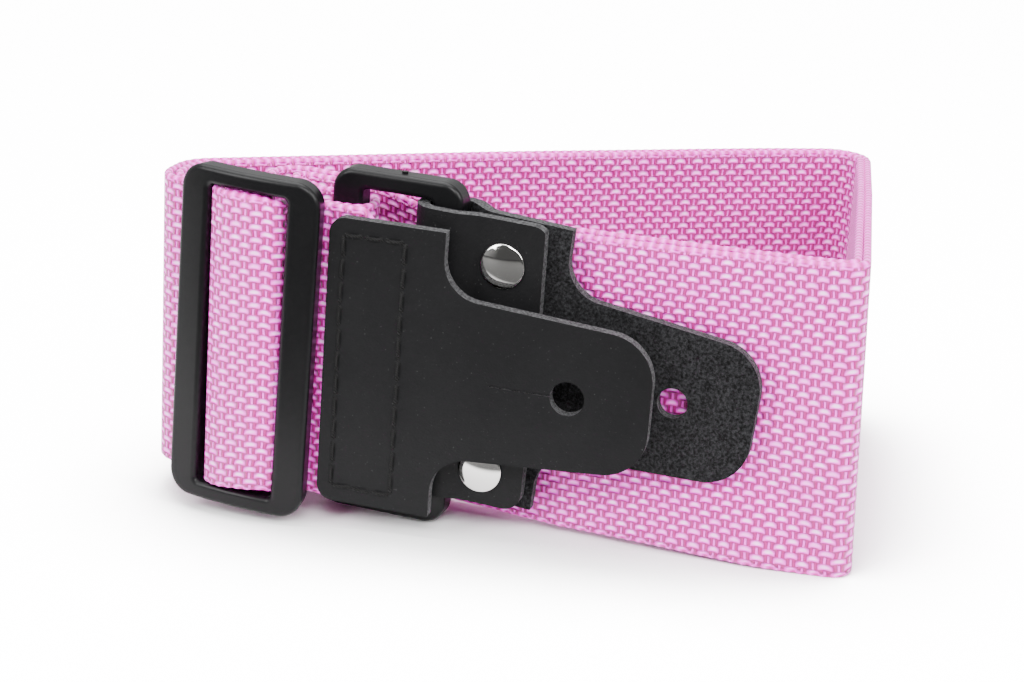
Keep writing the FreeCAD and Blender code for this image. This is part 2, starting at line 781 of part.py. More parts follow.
sub_parts = [webbing(), webbing_tail(), anchor_stitching(), slider_frame(), ring()]
sub_parts += [front_tab(), front_tab_stitching(), rear_tab()]
for where, side in (("upper", 1), ("lower", -1)):
    sub_parts.append(rivet_cap(where + "_rivet_cap", side))
    sub_parts.append(rivet_stud(where + "_rivet_stud", side))
doc.recompute()
check(sub_parts)
os.makedirs("parts", exist_ok=True)
for sub_part in sub_parts:
    sub_part.Shape.exportStep("parts/%s.step" % sub_part.Label)
    print(sub_part.Label, "volume %.1f mm3" % sub_part.Shape.Volume)
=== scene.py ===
import math
import random

import bpy
import numpy as np
from mathutils import Matrix, Vector


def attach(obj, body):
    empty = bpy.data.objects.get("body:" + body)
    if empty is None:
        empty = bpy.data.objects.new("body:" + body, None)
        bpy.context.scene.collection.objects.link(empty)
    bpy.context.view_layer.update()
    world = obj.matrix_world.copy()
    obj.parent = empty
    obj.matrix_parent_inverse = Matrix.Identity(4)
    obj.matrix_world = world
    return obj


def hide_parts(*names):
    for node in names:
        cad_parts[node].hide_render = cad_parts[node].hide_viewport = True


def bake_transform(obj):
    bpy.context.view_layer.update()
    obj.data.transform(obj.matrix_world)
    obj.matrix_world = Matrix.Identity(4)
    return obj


# Looks for a wound instrument strap: woven webbing, a slider, a ring and two leather tabs. Lengths
# in the code are millimetres in the strap's frame or in a plate's frame, as the CAD has them, and
# MM turns them into metres. Materials and the studio are in metres.

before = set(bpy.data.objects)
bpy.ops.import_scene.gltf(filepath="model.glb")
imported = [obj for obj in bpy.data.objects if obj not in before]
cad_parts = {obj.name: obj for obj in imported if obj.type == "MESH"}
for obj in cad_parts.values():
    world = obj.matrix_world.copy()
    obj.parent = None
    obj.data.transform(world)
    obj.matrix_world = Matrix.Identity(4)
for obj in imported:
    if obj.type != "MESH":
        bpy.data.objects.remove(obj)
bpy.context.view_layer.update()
MM = 0.001

# ---------------------------------------------------------------- frames

FRAME_OFFSET = (51.27, -38.4, 0.68)  # the strap frame's origin in the row frame
LEAN = 2.4  # degrees
PLATES = {  # centre u, v, w; yaw and turn in degrees
    "slider": (-98.25, 18.8, 25.75, 22.0, 1.8),
    "ring": (-74.0, 20.93, 26.0, 19.5, 0.6),
    "front": (-85.0, 14.8, 24.9, 15.0, 0.9),
    "rear": (-51.7, 10.0, 26.25, 17.5, 2.9),
}
WEB_WIDTH = 50.0
WEB_THICK = 1.3
WEB_BASE = 0.35  # height of the webbing's lower edge
LEATHER = 2.0
SLIDER_HALF = 2.1  # half its thickness
CENTRE_BAR_HALF = 1.7
CENTRE_BAR_THICK = 2.4
BAR_SLACK = 1.5  # behind the slider's curved bars
RING_HALF = 2.2  # half its thickness
RING_WIDTH = 22.5
RING_BAR = 5.2
LAYER_GAP = 0.3  # between webbing layers, and round the bars


def turned(axis, degrees):
    return Matrix.Rotation(math.radians(degrees), 4, axis)


STRAP = Matrix.Translation(FRAME_OFFSET) @ turned("Y", LEAN)


def plate_matrix(plate):
    """From a plate's frame to the row frame, in millimetres."""
    u, v, w, yaw, turn = PLATES[plate]
    return STRAP @ Matrix.Translation((u, v, w)) @ turned("Z", -yaw) @ turned("Y", turn)


def on_plate(plate, x, y):
    """A point of a plate's level section, as the strap frame's u and v."""
    u, v, _, yaw, _ = PLATES[plate]
    yaw = math.radians(yaw)
    return (
        u + x * math.cos(yaw) + y * math.sin(yaw),
        v - x * math.sin(yaw) + y * math.cos(yaw),
    )


def direction_of(matrix, axis):
    """An axis of a plate's frame, as a direction in the row frame."""
    return (matrix.to_3x3() @ Vector(axis)).normalized()


def to_row(matrix, points):
    """Points in millimetres in some frame, as metres in the row frame."""
    turn = np.array(matrix.to_3x3())
    shift = np.array(matrix.translation)
    return (np.asarray(points, float) @ turn.T + shift) * MM


# ---------------------------------------------------------------- meshes


def new_object(name, points, faces, material, uvs=None):
    """A mesh object with smooth faces, from points in metres in the row frame."""
    mesh = bpy.data.meshes.new(name)
    mesh.from_pydata([tuple(point) for point in points], [], faces)
    if uvs is not None:
        layer = mesh.uv_layers.new(name="UVMap")
        layer.data.foreach_set("uv", np.asarray(uvs, np.float32).ravel())
    mesh.polygons.foreach_set("use_smooth", [True] * len(mesh.polygons))
    mesh.materials.append(material)
    mesh.validate()
    mesh.update()
    obj = bpy.data.objects.new(name, mesh)
    bpy.context.scene.collection.objects.link(obj)
    return obj


# ---------------------------------------------------------------- shader helpers


class Shader:
    """A material and short ways to add nodes to it."""

    def __init__(self, name):
        self.material = bpy.data.materials.new(name)
        self.material.use_nodes = True
        self.nodes = self.material.node_tree.nodes
        self.links = self.material.node_tree.links
        self.surface = self.nodes["Principled BSDF"]

    def add(self, kind, **settings):
        node = self.nodes.new(kind)
        for key, value in settings.items():
            setattr(node, key, value)
        return node

    def join(self, source, target):
        if isinstance(source, bpy.types.NodeSocket):
            self.links.new(source, target)
        else:
            target.default_value = source

    def math(self, operation, *values, clamp=False):
        node = self.add("ShaderNodeMath", operation=operation, use_clamp=clamp)
        for value, socket in zip(values, node.inputs):
            self.join(value, socket)
        return node.outputs[0]

    def ramp(self, value, low, high, out_low=0.0, out_high=1.0):
        """A smooth step of value from low to high."""
        node = self.add("ShaderNodeMapRange", interpolation_type="SMOOTHSTEP")
        for index, item in enumerate((value, low, high, out_low, out_high)):
            self.join(item, node.inputs[index])
        return node.outputs[0]

    def mix(self, factor, first, second, blend="MIX"):
        node = self.add("ShaderNodeMix", data_type="RGBA", blend_type=blend)
        self.join(factor, node.inputs[0])
        self.join(first, node.inputs[6])
        self.join(second, node.inputs[7])
        return node.outputs[2]

    def noise(self, coordinates, scale, detail=2.0, roughness=0.5):
        node = self.add("ShaderNodeTexNoise")
        self.join(coordinates, node.inputs["Vector"])
        node.inputs["Scale"].default_value = scale
        node.inputs["Detail"].default_value = detail
        node.inputs["Roughness"].default_value = roughness
        return node.outputs["Fac"]

    def stretched(self, coordinates, scale, location=(0, 0, 0)):
        node = self.add("ShaderNodeMapping")
        self.join(coordinates, node.inputs["Vector"])
        node.inputs["Scale"].default_value = scale
        node.inputs["Location"].default_value = location
        return node.outputs[0]

    def bump(self, height, distance, strength=1.0, under=None):
        node = self.add("ShaderNodeBump")
        node.inputs["Strength"].default_value = strength
        node.inputs["Distance"].default_value = distance
        self.join(height, node.inputs["Height"])
        if under is not None:
            self.join(under, node.inputs["Normal"])
        return node.outputs[0]

    def object_space(self):
        return self.add("ShaderNodeTexCoord").outputs["Object"]

    def facing(self, direction):
        """How far the surface faces a direction of the rest frame, from -1 to 1."""
        node = self.add("ShaderNodeVectorMath", operation="DOT_PRODUCT")
        self.links.new(self.add("ShaderNodeTexCoord").outputs["Normal"], node.inputs[0])
        node.inputs[1].default_value = direction
        return node.outputs["Value"]

    def depth(self, matrix):
        """How far the surface lies behind a plate's front plane, in metres."""
        normal = direction_of(matrix, (0, 1, 0))
        node = self.add("ShaderNodeVectorMath", operation="DOT_PRODUCT")
        self.links.new(self.object_space(), node.inputs[0])
        node.inputs[1].default_value = normal
        return self.math("SUBTRACT", node.outputs["Value"], normal.dot(matrix.translation) * MM)

    def set(self, **values):
        for key, value in values.items():
            self.join(value, self.surface.inputs[key.replace("_", " ")])
        return self.material


# ---------------------------------------------------------------- materials

WEAVE_ALONG = 3.4  # from one float to the next in a row
WEAVE_ROW = 1.087


def webbing_material():
    """Woven webbing: staggered pale floats joined by narrow stems, and deep pink hollows with
    painted shade at their bottoms and painted glints on the floats' crowns.

    UV runs in metres along and across the webbing. x and y are places in one float's cell,
    from -0.5 to 0.5.
    """
    shader = Shader("webbing_weave")
    split = shader.add("ShaderNodeSeparateXYZ")
    uv = shader.add("ShaderNodeTexCoord").outputs["UV"]
    shader.links.new(uv, split.inputs[0])
    wobble = shader.noise(shader.stretched(uv, (180, 260, 1)), 1.0, 1.0)
    wobble = shader.math("MULTIPLY", shader.math("SUBTRACT", wobble, 0.5), 0.24)
    along = shader.math("MULTIPLY", split.outputs[0], 1 / (WEAVE_ALONG * MM))
    along = shader.math("ADD", along, wobble)
    across = shader.math("MULTIPLY", split.outputs[1], 1 / (WEAVE_ROW * MM))
    row = shader.math("FLOOR", across)
    stagger = shader.math("MULTIPLY", shader.math("MODULO", row, 2.0), 0.5)
    column = shader.math("ADD", along, stagger)
    x = shader.math("SUBTRACT", shader.math("FRACT", column), 0.5)
    cell = shader.add("ShaderNodeCombineXYZ")
    shader.join(shader.math("FLOOR", column), cell.inputs[0])
    shader.join(row, cell.inputs[1])
    painted_glint_chance = shader.add("ShaderNodeTexWhiteNoise", noise_dimensions="2D")
    shader.links.new(cell.outputs[0], painted_glint_chance.inputs["Vector"])
    y = shader.math("SUBTRACT", shader.math("FRACT", across), 0.5)
    far = shader.math("ABSOLUTE", x)
    droop = shader.math("MULTIPLY_ADD", shader.math("MULTIPLY", far, far), 2.4, -0.1)
    tall = shader.math("ABSOLUTE", shader.math("ADD", y, droop))
    row_round = shader.math("SQRT", shader.math("COSINE", shader.math("MULTIPLY", tall, 2.95)))
    end_round = shader.ramp(far, 0.25, 0.37, 1.0, 0.0)
    crown = shader.ramp(far, 0.0, 0.37, 1.0, 0.7)
    float_height = shader.math("MULTIPLY", shader.math("MULTIPLY", row_round, end_round), crown)
    from_gap = shader.math("SUBTRACT", 0.5, far)
    stem = shader.ramp(from_gap, 0.035, 0.085, 0.76, 0.06)
    stem_ends = shader.ramp(shader.math("ABSOLUTE", y), 0.3, 0.5, 1.0, 0.8)
    stem = shader.math("MULTIPLY", stem, stem_ends)
    height = shader.math("MAXIMUM", float_height, stem)
    half_width = WEB_WIDTH * MM / 2
    from_middle = shader.math("ABSOLUTE", shader.math("SUBTRACT", split.outputs[1], half_width))
    selvedge = shader.ramp(from_middle, 0.0241, 0.0246, 0.0, 1.0)
    ribs = shader.math("SINE", shader.math("MULTIPLY", along, 4 * math.pi))
    ribs = shader.math("MULTIPLY_ADD", ribs, 0.22, 0.6)
    blend = shader.add("ShaderNodeMix", data_type="FLOAT")
    for index, item in ((0, selvedge), (2, height), (3, ribs)):
        shader.join(item, blend.inputs[index])
    height = blend.outputs[0]
    fibres = shader.noise(shader.stretched(uv, (900, 14000, 1)), 1.0, 2.0, 0.7)
    pale = shader.ramp(height, 0.34, 0.86)
    colour = shader.mix(pale, (0.56, 0.0008, 0.32, 1), (1.0, 0.055, 0.8, 1))
    # Painted shade: the lowest parts of the weave are darkened to deep crimson, as if in shadow.
    painted_hollow_shade = shader.ramp(height, 0.14, 0.62, 0.97, 0.0)
    colour = shader.mix(painted_hollow_shade, colour, (0.34, 0.0005, 0.15, 1))
    # Painted highlight: the floats' crowns are lightened to near white, more on some cells than on
    # others.
    painted_glint = shader.math("MULTIPLY", shader.ramp(height, 0.74, 0.99), 0.9)
    painted_glint = shader.math("MULTIPLY", painted_glint, shader.ramp(painted_glint_chance.outputs["Value"], 0.0, 1.0, 0.4, 1.0))
    colour = shader.mix(painted_glint, colour, (1.0, 0.66, 1.0, 1))
    colour = shader.mix(shader.ramp(fibres, 0.3, 0.75, 0.0, 0.22), colour, (0.8, 0.03, 0.42, 1))
    relief = shader.bump(height, 0.0007)
    fine = shader.bump(fibres, 0.00004, 0.6, relief)
    return shader.set(
        Base_Color=colour, Roughness=0.36, Normal=fine, Sheen_Weight=0.15, Sheen_Roughness=0.4
    )


def thread_material(name, dark, light, specular):
    """Twisted thread: its colour in lighter and darker bands along the twist, as painted highlight
    and painted shade.
    """
    shader = Shader(name)
    shader.set(Specular_IOR_Level=specular)
    twist = shader.add("ShaderNodeTexWave", wave_type="BANDS", bands_direction="DIAGONAL")
    shader.links.new(shader.object_space(), twist.inputs["Vector"])
    twist.inputs["Scale"].default_value = 1500
    # Painted highlight and shade: the twist's bands take the lighter and the darker colour.
    colour = shader.mix(twist.outputs["Fac"], dark, light)
    relief = shader.bump(twist.outputs["Fac"], 0.00006)
    return shader.set(Base_Color=colour, Roughness=0.6, Normal=relief)


def leather_material(name, matrix, suede_is_behind):
    """Black leather: smooth grain outside, suede inside, and paler fibrous cut edges."""
    shader = Shader(name)
    place = shader.object_space()
    grain = shader.noise(place, 5200, 3.0, 0.6)
    pores = shader.add("ShaderNodeTexVoronoi", feature="F1")
    shader.links.new(place, pores.inputs["Vector"])
    pores.inputs["Scale"].default_value = 2600
    mottle = shader.noise(place, 90, 4.0, 0.6)
    specks = shader.ramp(shader.noise(place, 2900, 1.0), 0.735, 0.77)
    smooth = shader.mix(mottle, (0.0032, 0.0032, 0.0036, 1), (0.0056, 0.0056, 0.006, 1))
    smooth = shader.mix(shader.math("MULTIPLY", specks, 0.35), smooth, (0.06, 0.06, 0.06, 1))
    nap = shader.noise(place, 2100, 4.0, 0.75)
    raised_nap = shader.ramp(nap, 0.35, 0.75)
    suede = shader.mix(raised_nap, (0.0006, 0.0006, 0.0007, 1), (0.025, 0.025, 0.027, 1))
    fibres = shader.noise(place, 2400, 4.0, 0.7)
    raised_fibres = shader.ramp(fibres, 0.3, 0.7)
    cut = shader.mix(raised_fibres, (0.008, 0.008, 0.0085, 1), (0.085, 0.085, 0.088, 1))
    front = shader.facing(direction_of(matrix, (0, -1, 0)))
    if suede_is_behind:
        inner = shader.ramp(front, -0.5, -0.7)
        side = shader.ramp(shader.math("ABSOLUTE", front), 0.75, 0.55)
    else:
        deep = shader.ramp(shader.depth(matrix), 0.0014, 0.0018)
        inner = shader.math("MULTIPLY", shader.ramp(front, 0.5, 0.7), deep)
        level = shader.facing(direction_of(matrix, (0, 0, 1)))
        upper_or_lower = shader.ramp(shader.math("ABSOLUTE", level), 0.45, 0.65)
        right = shader.facing(direction_of(matrix, (1, 0, 0)))
        side = shader.math("MAXIMUM", upper_or_lower, shader.ramp(right, 0.6, 0.8))
    colour = shader.mix(inner, smooth, suede)
    colour = shader.mix(side, colour, cut)
    dents = shader.math("ADD", shader.math("MULTIPLY", grain, 0.5), pores.outputs["Distance"])
    relief = shader.bump(dents, 0.00005, 0.6)
    rough = shader.math("MULTIPLY", shader.math("MAXIMUM", inner, side), nap)
    relief = shader.bump(rough, 0.0004, 1.0, relief)
    roughness = shader.ramp(shader.math("MAXIMUM", inner, side), 0.0, 1.0, 0.5, 0.9)
    shader.set(Specular_IOR_Level=0.12)
    return shader.set(Base_Color=colour, Roughness=roughness, Normal=relief)


def plastic_material(name):
    """Satin black moulded plastic with a faint spark-eroded texture."""
    shader = Shader(name)
    place = shader.object_space()
    texture = shader.noise(place, 3500, 2.0)
    smears = shader.noise(place, 60, 3.0)
    roughness = shader.ramp(smears, 0.3, 0.7, 0.3, 0.4)
    return shader.set(
        Base_Color=(0.003, 0.003, 0.0033, 1),
        Specular_IOR_Level=0.16,
        Roughness=roughness,
        Normal=shader.bump(texture, 0.00002, 0.5),
    )


def metal_material(name):
    """Polished nickel with fine handling marks."""
    shader = Shader(name)
    marks = shader.noise(shader.stretched(shader.object_space(), (400, 400, 9000)), 1.0, 2.0)
    roughness = shader.ramp(marks, 0.4, 0.8, 0.06, 0.14)
    return shader.set(Base_Color=(0.66, 0.65, 0.63, 1), Metallic=1.0, Roughness=roughness)


# ---------------------------------------------------------------- webbing


def unit(vector):
    return vector / np.linalg.norm(vector)


def rounded_path(corners, step):
    """Straight runs joined by tangent arcs through (u, v, radius) corners, as points."""
    points = [np.array(corners[0][:2], float)]
    for before, corner, after in zip(corners, corners[1:], corners[2:]):
        at = np.array(corner[:2], float)
        come = unit(at - np.array(before[:2]))
        go = unit(np.array(after[:2]) - at)
        turn = math.atan2(come[0] * go[1] - come[1] * go[0], come @ go)
        reach = corner[2] * math.tan(abs(turn) / 2)
        enter = at - reach * come
        side = math.copysign(1, turn)
        centre = enter + side * corner[2] * np.array((-come[1], come[0]))
        arm = enter - centre
        count = max(2, int(abs(turn) * corner[2] / step))
        for index in range(count + 1):
            angle = turn * index / count
            cos, sin = math.cos(angle), math.sin(angle)
            points.append(centre + (cos * arm[0] - sin * arm[1], sin * arm[0] + cos * arm[1]))
    points.append(np.array(corners[-1][:2], float))
    return np.array(points)


def evenly(points, step):
    """The same path with its points the same distance apart."""
    gaps = np.linalg.norm(np.diff(points, axis=0), axis=1)
    keep = np.concatenate(([True], gaps > 1e-9))
    points = points[keep]
    run = np.concatenate(([0.0], np.cumsum(np.linalg.norm(np.diff(points, axis=0), axis=1))))
    count = max(2, round(run[-1] / step))
    at = np.linspace(0, run[-1], count + 1)
    return np.stack([np.interp(at, run, points[:, axis]) for axis in range(2)], axis=1), at


def softened(points, sigma):
    """The path with its corners eased, its ends kept."""
    reach = int(4 * sigma)
    weights = np.exp(-0.5 * (np.arange(-reach, reach + 1) / sigma) ** 2)
    weights /= weights.sum()
    padded = np.pad(points, ((reach, reach), (0, 0)), mode="reflect", reflect_type="odd")
    return np.stack([np.convolve(padded[:, axis], weights, "valid") for axis in range(2)], axis=1)


TAIL_START = 8.8  # where the free end begins, behind the slider's right bar
TAIL_END = 14.6  # where it ends, under the front tab
TAIL_CUT = 9.4  # length of its cut corners


def coil_corners():
    """The webbing from behind the slider's right bar, round the coil twice, to its sewn end."""
    half = WEB_THICK / 2
    pitch = WEB_THICK + LAYER_GAP
    behind = SLIDER_HALF + BAR_SLACK + half
    over_loop = SLIDER_HALF - CENTRE_BAR_THICK - 0.07 - half  # snug on the centre bar
    over = over_loop - WEB_THICK - 0.02
    shoulder = -0.7  # where the front layer turns back through the windows
    loop_side = CENTRE_BAR_HALF + 0.85 + LAYER_GAP + half
    side = loop_side + pitch - LAYER_GAP / 2 + 1.2
    wrap_x = RING_BAR - RING_WIDTH / 2 + 0.75 + half
    wrap_y = RING_HALF + LAYER_GAP + half

    def at_slider(x, y, radius):
        return on_plate("slider", x, y) + (radius,)

    def at_ring(x, y, radius):
        return on_plate("ring", x, y) + (radius,)

    through_slider = [
        at_slider(TAIL_START, behind, 0),
        at_slider(side, behind, 1.2),
        at_slider(side, shoulder, 1.3),
        at_slider(3.0, over, 4.5),
        at_slider(-3.0, over, 4.5),
        at_slider(-side, shoulder, 1.3),
        at_slider(-side, behind, 1.2),
        at_slider(-18.6, behind, 5.0),
    ]
    outer_turn = [
        (-110.8, 40.6, 7.0),
        (-58.0, 58.7, 150.0),
        (-11.0, 72.9, 100.0),
        (9.3, 77.6, 6.0),
        (-0.9, 0.3, 2.6),
        (-14.0, 3.9, 60.0),
        (-30.0, 8.8, 60.0),
        (-47.0, 15.0, 60.0),
        (-58.0, 20.9, 60.0),
        (-75.5, 29.3, 20.0),
        (-91.6, 37.2, 1.5),
        (-92.3, 33.8, 1.5),
    ]
    round_ring = [
        at_ring(wrap_x, wrap_y, 2.6),
        at_ring(wrap_x, -wrap_y, 2.6),
        at_ring(-RING_WIDTH / 2 - 0.4, -wrap_y, 4.0),
    ]
    inner_turn = [
        (-96.2, 30.1, 4.0),
        (-95.8, 42.6, 4.2),
        (-74.1, 32.1, 20.0),
        (-56.6, 23.8, 60.0),
        (-45.6, 18.2, 60.0),
        (-29.0, 11.8, 60.0),
        (-13.4, 6.2, 60.0),
        (-2.1, 2.1, 1.6),
        (7.9, 75.9, 4.4),
        (-10.6, 71.2, 100.0),
        (-57.5, 57.0, 150.0),
        (-109.3, 39.3, 5.4),
    ]
    sewn_loop = [
        at_slider(-16.9, behind + pitch, 3.6),
        at_slider(-loop_side, behind + pitch, 0.9),
        at_slider(-loop_side, over_loop, 1.0),
        at_slider(loop_side, over_loop, 1.0),
        at_slider(loop_side, behind + 2 * pitch, 1.0),
        at_slider(-12.0, behind + 2 * pitch, 0),
    ]
    return through_slider + outer_turn + round_ring + inner_turn + sewn_loop


def tail_corners():
    """The free end: from behind the slider's right bar to its end under the front tab."""
    half = WEB_THICK / 2
    behind_slider = SLIDER_HALF + BAR_SLACK + half
    behind_tab = LEATHER + half + 0.02
    return [
        on_plate("slider", TAIL_START, behind_slider) + (0,),
        on_plate("slider", 9.6, behind_slider) + (3.0,),
        on_plate("front", 0.6, behind_tab) + (4.0,),
        on_plate("front", TAIL_END, behind_tab) + (0,),
    ]


PATH_STEP = 0.425  # between the webbing's cross-sections
ACROSS = 26  # points over each face of a cross-section
SCALLOP = 0.05  # how far the edge's loops stand out


def section(scallop):
    """The webbing's cross-section as (height, depth, across) rows, once round."""
    half = WEB_THICK / 2
    flat_from, round_from = 0.45, 0.12  # the rounding of the edges, from the edge inwards
    shallow = half * 0.62
    heights = np.linspace(flat_from, WEB_WIDTH - flat_from, ACROSS)
    rows = [(height, half, height) for height in heights]
    rows += [(WEB_WIDTH - round_from + scallop, shallow, WEB_WIDTH - round_from)]
    rows += [(WEB_WIDTH + scallop, 0.0, WEB_WIDTH)]
    rows += [(WEB_WIDTH - round_from + scallop, -shallow, WEB_WIDTH - round_from)]
    rows += [(height, -half, height) for height in heights[::-1]]
    rows += [(round_from - scallop, -shallow, round_from), (-scallop, 0.0, 0.0)]
    rows += [(round_from - scallop, shallow, round_from)]
    return rows


def between(value, low, high):
    """0 at low, 1 at high, and straight between them."""
    return min(max((value - low) / (high - low), 0.0), 1.0)


def in_slider(u, v):
    """A point of the strap frame, as x and y in the slider's level section."""
    centre_u, centre_v, _, yaw, _ = PLATES["slider"]
    yaw = math.radians(yaw)
    u, v = u - centre_u, v - centre_v
    return u * math.cos(yaw) - v * math.sin(yaw), u * math.sin(yaw) + v * math.cos(yaw)


def window_shift(u, v, low):
    """How far right and up the webbing sits where it passes through the slider's windows."""
    x, y = in_slider(u, v)
    inside = between(y, 4.2, 1.5) * between(abs(x), 9.0, 7.5)  # 1 in the windows, 0 outside
    right = 0.5 * (1 - low) * between(x, -2, -5)
    up = 0.9 - 0.031 * x + low * (0.12 * x - 0.35)
    return inside * right, inside * up


def coil_shift(u, v, height):
    """How far the webbing is from its level place: (right, towards the back, up).

    It sags along the front, rides up on the ring, settles towards the right end, leans out there
    at its lower edge, and bulges forwards below.
    """
    low = 1 - height / WEB_WIDTH  # 1 at the lower edge, 0 at the upper
    window_right, window_up = window_shift(u, v, low)
    front = between(v, 34, 28) * between(u, -95, -87)
    sag = -1.85 * between(u, -1.5, -46.5) ** 0.7 * front
    on_ring = between(math.hypot(u + 80, v - 24), 10, 6)
    ride = 1.1 * on_ring
    settle = -(1.0 - 0.042 * max(u, -2)) * low * between(u, -30, -2)
    right_end = between(u, -16, -2) * between(v, 45, 5)
    lean = (1.9 * low - 0.6) * right_end
    out_below = between(height, 14, 0) * between(u, -48, -14)
    bulge = -3.0 * max(out_below, low * between(u, -14, -3)) * between(v, 32, 8)
    return lean + window_right, bulge, sag + ride + settle + window_up


def band(name, corners, material, shift, sigma, start=0.0, end_cut=0.0):
    """A length of webbing that follows corners, eased by sigma, and its length in metres.

    shift moves each point, start is where the weave begins, and end_cut is the length of the cut
    corners at its end.
    """
    path, _ = evenly(rounded_path(corners, 0.15), PATH_STEP)
    path = softened(path, sigma / PATH_STEP)
    path, run = evenly(path, PATH_STEP)
    ahead = np.gradient(path, axis=0)
    ahead /= np.linalg.norm(ahead, axis=1)[:, None]
    left = np.stack((-ahead[:, 1], ahead[:, 0]), axis=1)
    points, across = [], [row[2] for row in section(0.0)]
    for at, out, distance in zip(path, left, run):
        scallop = SCALLOP * math.sin(2 * math.pi * distance / (WEAVE_ALONG / 2))
        cut = max(0.0, distance - run[-1] + end_cut)
        narrow = 1 - cut / (WEB_WIDTH / 2)
        for height, depth, _ in section(scallop):
            height = WEB_WIDTH / 2 + (height - WEB_WIDTH / 2) * narrow
            u_shift, v_shift, w_shift = shift(at[0], at[1], height)
            points.append(
                (
                    at[0] + depth * out[0] + u_shift,
                    at[1] + depth * out[1] + v_shift,
                    WEB_BASE + height + w_shift,
                )
            )
    size = len(across)
    faces, uvs = [], []
    for k in range(len(path) - 1):
        for j in range(size):
            following = (j + 1) % size
            this, next_one = k * size, (k + 1) * size
            faces.append((this + j, next_one + j, next_one + following, this + following))
            near, far = run[k] + start, run[k + 1] + start
            low, high = across[j], across[following]
            uvs += [(near, low), (far, low), (far, high), (near, high)]
    faces.append(tuple(range(size)))
    uvs += [(start, value) for value in across]
    last = (len(path) - 1) * size
    faces.append(tuple(last + j for j in reversed(range(size))))
    uvs += [(run[-1] + start, value) for value in reversed(across)]
    obj = new_object(name, to_row(STRAP, points), faces, material, np.array(uvs) * MM)
    return obj, run[-1] * MM


def make_webbing(material):
    coil, length = band("coiled_webbing", coil_corners(), material, coil_shift, 0.55)
    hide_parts("webbing")
    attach(coil, "strap")

    def still(*_):
        return 0.0, 0.0, 0.0

    tail, tail_length = band(
        "webbing_end", tail_corners(), material, still, 0.6, start=1.3, end_cut=TAIL_CUT
    )
    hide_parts("webbing_tail")
    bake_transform(tail)


# ---------------------------------------------------------------- stitches


STITCH_BOX = (10.2, 42.8)  # width and height of a box of stitches
STITCHES = (11, 3)  # along its long and short sides
FRONT_BOX_LEFT = 2.4
ANCHOR_BOX_LEFT = -10.4


def thread_tube(path, radius, around=8):
    """A tube's points and faces along a short path in a plate's frame."""
    path = np.asarray(path, float)
    ahead = np.gradient(path, axis=0)
    ahead /= np.linalg.norm(ahead, axis=1)[:, None]
    points, faces = [], []
    for at, way in zip(path, ahead):
        side = unit(np.cross(way, (0.13, 1.0, 0.07)))
        up = np.cross(side, way)
        for index in range(around):
            angle = 2 * math.pi * index / around
            points.append(at + radius * (math.cos(angle) * side + math.sin(angle) * up))
    for k in range(len(path) - 1):
        for j in range(around):
            following = (j + 1) % around
            this, next_one = k * around, (k + 1) * around
            faces.append((this + j, this + following, next_one + following, next_one + j))
    faces.append(tuple(reversed(range(around))))
    faces.append(tuple((len(path) - 1) * around + j for j in range(around)))
    return points, faces


def stitch_path(start, end, depth, out, radius):
    """One stitch between two needle holes on a face at depth, arched outwards."""
    path = []
    for t in np.linspace(0, 1, 9):
        rise = radius * 1.5 * math.sin(math.pi * t) ** 0.45 - radius * 0.9
        x = start[0] + (end[0] - start[0]) * t
        z = start[1] + (end[1] - start[1]) * t
        path.append((x, depth + out * rise, z))
    return path


def box_stitches(left, depth, out, radius, draws):
    """Tubes for a rectangle of stitches on one face, and a dark needle hole at each end."""
    wide, tall = STITCH_BOX
    long_count, short_count = STITCHES
    right = left + wide
    corners = [(left, tall / 2), (right, tall / 2), (right, -tall / 2), (left, -tall / 2)]
    counts = [short_count, long_count, short_count, long_count]
    tubes = []
    for index, count in enumerate(counts):
        start, end = np.array(corners[index]), np.array(corners[(index + 1) % 4])
        gap = 0.55 * unit(end - start)
        for k in range(count):
            jitter = np.array([draws.uniform(-0.12, 0.12), draws.uniform(-0.12, 0.12)])
            first = start + (end - start) * k / count + gap + jitter
            last = start + (end - start) * (k + 1) / count - gap + jitter * 0.4
            tubes.append(thread_tube(stitch_path(first, last, depth, out, radius), radius))
            for x, z in (first, last):
                hole = [(x, depth - out * 0.2, z), (x, depth + out * 0.03, z)]
                tubes.append(thread_tube(hole, radius * 1.5))
    return tubes


def joined(name, tubes, matrix, material):
    """One object from many tubes in a plate's frame."""
    points, faces = [], []
    for tube_points, tube_faces in tubes:
        base = len(points)
        points += [tuple(point) for point in tube_points]
        faces += [tuple(base + index for index in face) for face in tube_faces]
    return new_object(name, to_row(matrix, points), faces, material)


def make_stitching():
    draws = random.Random(4)
    # Each thread has a darker and a lighter colour for the painted shade and painted highlight on
    # its twist's bands.
    dark, light = (0.0008, 0.0008, 0.0008, 1), (0.009, 0.009, 0.009, 1)
    black = thread_material("black_thread", dark, light, 0.12)
    pink = thread_material("pink_thread", (0.5, 0.04, 0.3, 1), (0.85, 0.2, 0.6, 1), 0.4)
    tubes = box_stitches(FRONT_BOX_LEFT, 0.0, -1, 0.3, draws)
    tubes += box_stitches(FRONT_BOX_LEFT, LEATHER + WEB_THICK, 1, 0.3, draws)
    front = joined("front_stitches", tubes, plate_matrix("front"), black)
    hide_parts("front_tab_stitching")
    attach(front, "front")
    last_layer = SLIDER_HALF + BAR_SLACK + WEB_THICK / 2 + 2 * (WEB_THICK + LAYER_GAP)
    tubes = box_stitches(ANCHOR_BOX_LEFT, last_layer + WEB_THICK / 2, 1, 0.28, draws)
    anchor = joined("anchor_stitches", tubes, plate_matrix("slider"), pink)
    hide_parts("anchor_stitching")
    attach(anchor, "strap")


# ---------------------------------------------------------------- rivets


RIVET_X = -6.4
RIVET_RISE = 17.5  # above and below their middle
RIVET_DROP = 0.8  # of their middle below the rear tab's
CAP_RADIUS = 3.7
CAP_RIM = 0.35
CAP_HEIGHT = 1.0


